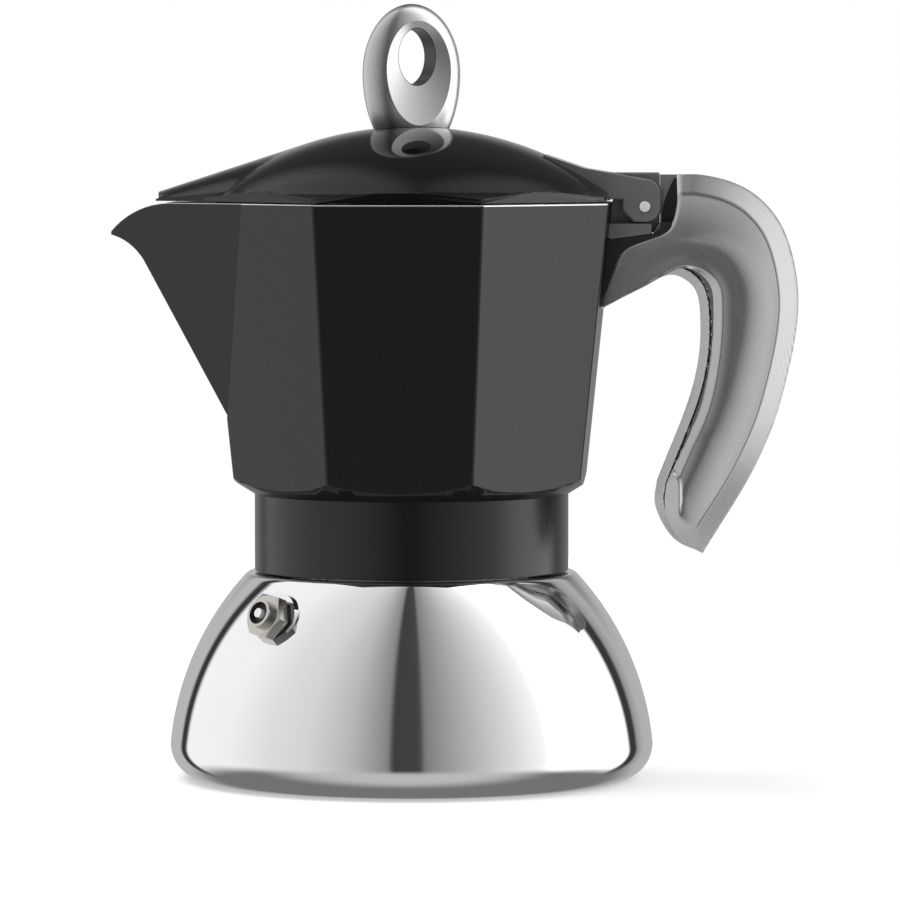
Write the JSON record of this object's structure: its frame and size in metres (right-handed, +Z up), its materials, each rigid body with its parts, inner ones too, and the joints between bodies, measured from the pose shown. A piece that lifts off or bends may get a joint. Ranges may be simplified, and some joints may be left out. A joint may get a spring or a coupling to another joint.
{
  "type": "moka pot",
  "caption": "Stove-top coffee maker: bell-shaped steel boiler, screw-on black octagonal collector with spout, hinged lid with ring knob, curved silver handle and side safety valve.",
  "frame": {"origin": "middle of the flat base, on the pot's axis", "axes": "+Z up along the pot's axis, spout towards -X, handle towards +X"},
  "size_m": [0.1336, 0.0942, 0.1508],
  "materials": {
    "polished_steel": "mirror polished",
    "satin_steel": "satin, brushed in circles",
    "bare_aluminium": "turned and bare",
    "nickel_brass": "nickel plated",
    "dark_brass": "darkened",
    "pin_steel": "bright",
    "spring_steel": "drawn wire",
    "seal_rubber": "matte",
    "gasket_silicone": "matte white silicone",
    "black_enamel": "cast aluminium under satin black enamel",
    "lid_enamel": "cast aluminium under gloss black enamel",
    "silver_plastic": "satin silver lacquer with fine sparkle",
    "black_plastic": "moulded satin",
    "insert_brass": "turned"
  },
  "bodies": {
    "boiler": {"boiler_shell": "polished_steel", "boiler_base": "satin_steel", "boiler_liner": "bare_aluminium", "boiler_neck": "bare_aluminium", "valve_washer": "seal_rubber", "valve_body": "nickel_brass", "valve_plug": "dark_brass", "valve_spring": "spring_steel", "funnel": "bare_aluminium", "funnel_stem": "bare_aluminium", "funnel_plate": "bare_aluminium"},
    "valve_pin": {"valve_pin": "pin_steel"},
    "seal": {"gasket": "gasket_silicone", "filter_plate": "bare_aluminium"},
    "collector": {"collector": "black_enamel", "column": "bare_aluminium", "hinge_pin": "pin_steel", "handle_root": "black_plastic", "handle_core": "silver_plastic", "handle_cheek_near": "silver_plastic", "handle_cheek_far": "silver_plastic", "handle_bolts": "pin_steel"},
    "lid": {"lid": "lid_enamel", "lid_knob": "silver_plastic", "knob_insert": "insert_brass", "knob_screw": "pin_steel"}
  },
  "joints": [
    {"name": "valve_lift", "type": "slide", "parent": "boiler", "child": "valve_pin", "axis": [-0.604, -0.7198, 0.342], "range_m": [0, 0.0015], "stiffness_N_per_m": 300, "springref_m": -0.001, "deforming": ["valve_spring"]},
    {"name": "collector_rise", "type": "slide", "parent": "boiler", "child": "seal", "axis": [0, 0, 1], "range_m": [0, 0.00605]},
    {"name": "collector_turn", "type": "hinge", "parent": "seal", "child": "collector", "pos_m": [0, 0, 0], "axis": [0, 0, 1], "range_deg": [0, 720]},
    {"name": "lid_hinge", "type": "hinge", "parent": "collector", "child": "lid", "pos_m": [0.04565, 0, 0.1116], "axis": [0, 1, 0], "range_deg": [0, 85]}
  ],
  "couplings": [
    {"joint": "collector_rise", "follows": "collector_turn", "m_per_rad": 0.00047746}
  ]
}
